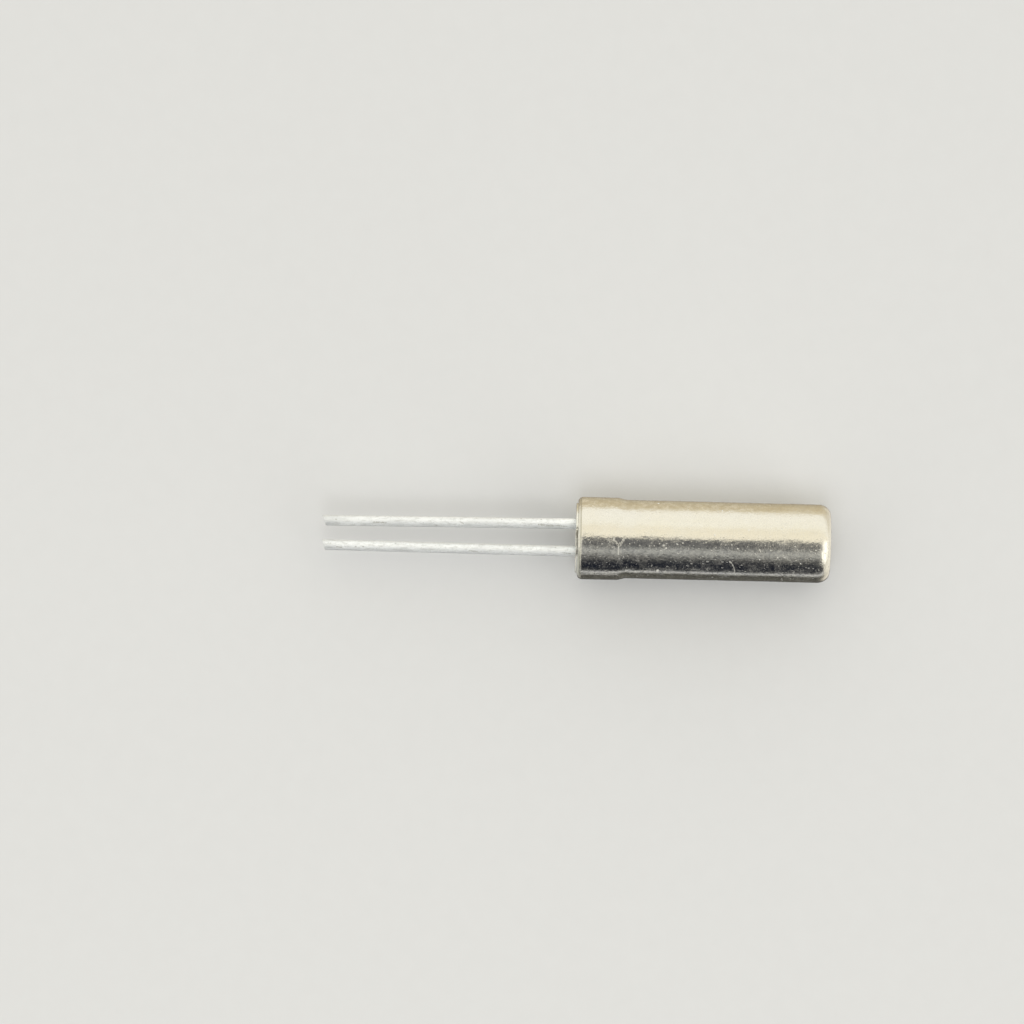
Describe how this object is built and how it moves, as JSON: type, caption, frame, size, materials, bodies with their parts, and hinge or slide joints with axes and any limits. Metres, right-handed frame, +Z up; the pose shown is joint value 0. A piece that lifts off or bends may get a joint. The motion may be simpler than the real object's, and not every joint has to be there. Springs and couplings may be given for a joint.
{
  "type": "crystal oscillator",
  "caption": "Slim cylindrical metal-can quartz crystal with wire leads side by side from its header, a tuning-fork resonator sealed inside.",
  "frame": {"origin": "centre of the header ring's outer face, on the can's axis", "axes": "+X along the can's axis to its closed end, with the leads towards -X; +Y across the pair of leads; +Z up from the side it lies on"},
  "size_m": [0.0122, 0.002, 0.002],
  "materials": {
    "can": "polished",
    "header_ring": "polished",
    "glass_seal": "gloss",
    "leads": "satin",
    "quartz": "polished",
    "electrodes": "polished",
    "solder": "satin"
  },
  "bodies": {
    "root": {"can": "can", "header_ring": "header_ring", "glass_seal": "glass_seal", "lead_a": "leads", "lead_b": "leads", "quartz_fork": "quartz", "electrode_a": "electrodes", "electrode_b": "electrodes", "trim_weights": "electrodes", "solder_joint_a": "solder", "solder_joint_b": "solder"}
  },
  "joints": []
}
